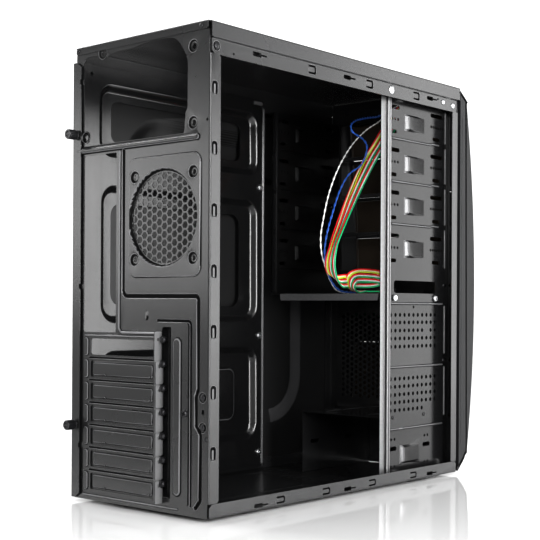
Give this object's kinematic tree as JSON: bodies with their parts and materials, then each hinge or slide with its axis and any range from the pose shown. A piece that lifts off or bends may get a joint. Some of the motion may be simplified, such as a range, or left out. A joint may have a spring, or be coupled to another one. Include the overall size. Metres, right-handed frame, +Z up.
{
  "type": "desktop computer tower",
  "caption": "Open-sided steel mid-tower computer case with drive cage, board tray, expansion slots, curved plastic front, sliding side panel and front leads.",
  "frame": {"origin": "centre of the footprint, on the surface that the feet stand on", "axes": "+Y towards the rear face, -Y towards the plastic front, -X towards the open side, +X towards the closed side panel, +Z up"},
  "size_m": [0.1758, 0.4329, 0.415],
  "materials": {
    "steel_black": "satin black powder coat on pressed steel",
    "inner_black": "satin black powder coat, inside sheets",
    "bezel_plastic": "fine textured dark grey plastic",
    "mesh_black": "perforated sheet, black brown",
    "zinc_screw": "zinc plated",
    "black_screw": "black oxide",
    "foot_rubber": "matt",
    "light_lens": "clear moulded",
    "circuit_board": "solder mask",
    "socket_shell": "nickel plated",
    "socket_plastic": "moulded",
    "ribbon_wire": "coloured insulation",
    "white_wire": "white insulation",
    "blue_wire": "blue insulation",
    "plug_plastic": "moulded"
  },
  "bodies": {
    "chassis": {"chassis_floor": "steel_black", "top_cover": "steel_black", "rear_panel": "steel_black", "slot_retention_cover": "steel_black", "slot_cover_2": "steel_black", "slot_cover_3": "steel_black", "slot_cover_4": "steel_black", "slot_cover_5": "steel_black", "slot_cover_6": "steel_black", "slot_cover_7": "steel_black", "front_wall": "inner_black", "motherboard_tray": "inner_black", "cage_wall_left": "inner_black", "cage_wall_right": "inner_black", "cage_floor": "inner_black", "hdd_cage": "inner_black", "slot_screw_1": "black_screw", "slot_screw_2": "black_screw", "slot_screw_3": "black_screw", "slot_screw_4": "black_screw", "slot_screw_5": "black_screw", "slot_screw_6": "black_screw", "slot_screw_7": "black_screw", "retention_screw": "black_screw", "front_bezel": "bezel_plastic", "bay_cover_1": "mesh_black", "bay_cover_2": "mesh_black", "bay_cover_3": "mesh_black", "bay_cover_4": "mesh_black", "front_grille": "mesh_black", "power_led_lens": "light_lens", "drive_led_lens": "light_lens", "control_board": "circuit_board", "usb_socket_1": "socket_shell", "audio_jack_1": "socket_plastic", "cage_screw_1": "zinc_screw", "usb_socket_2": "socket_shell", "audio_jack_2": "socket_plastic", "cage_screw_2": "zinc_screw", "tray_screw_1": "zinc_screw", "tray_screw_2": "zinc_screw", "tray_screw_3": "zinc_screw", "foot_1": "foot_rubber", "foot_2": "foot_rubber", "foot_3": "foot_rubber", "foot_4": "foot_rubber", "ribbon_lead": "ribbon_wire", "ribbon_hank": "ribbon_wire", "ribbon_plug": "plug_plastic", "white_lead": "white_wire", "white_plug": "plug_plastic", "blue_lead": "blue_wire", "blue_plug": "plug_plastic"},
    "side_panel": {"side_panel_right": "steel_black"},
    "thumbscrew_top": {"thumbscrew_upper": "black_screw"},
    "thumbscrew_bottom": {"thumbscrew_lower": "black_screw"},
    "power_button": {"power_button": "bezel_plastic"},
    "reset_button": {"reset_button": "bezel_plastic"}
  },
  "joints": [
    {"name": "side_panel_slide", "type": "slide", "parent": "chassis", "child": "side_panel", "axis": [0, 1, 0], "range_m": [0, 0.02]},
    {"name": "thumbscrew_top_turn", "type": "hinge", "parent": "side_panel", "child": "thumbscrew_top", "pos_m": [0.0801, 0.2119, 0.335], "axis": [0, 1, 0], "continuous": true},
    {"name": "thumbscrew_bottom_turn", "type": "hinge", "parent": "side_panel", "child": "thumbscrew_bottom", "pos_m": [0.0801, 0.2119, 0.07], "axis": [0, 1, 0], "continuous": true},
    {"name": "power_button_press", "type": "slide", "parent": "chassis", "child": "power_button", "axis": [0, 1, 0], "range_m": [0, 0.002], "stiffness_N_per_m": 600},
    {"name": "reset_button_press", "type": "slide", "parent": "chassis", "child": "reset_button", "axis": [0, 1, 0], "range_m": [0, 0.0015], "stiffness_N_per_m": 600}
  ]
}
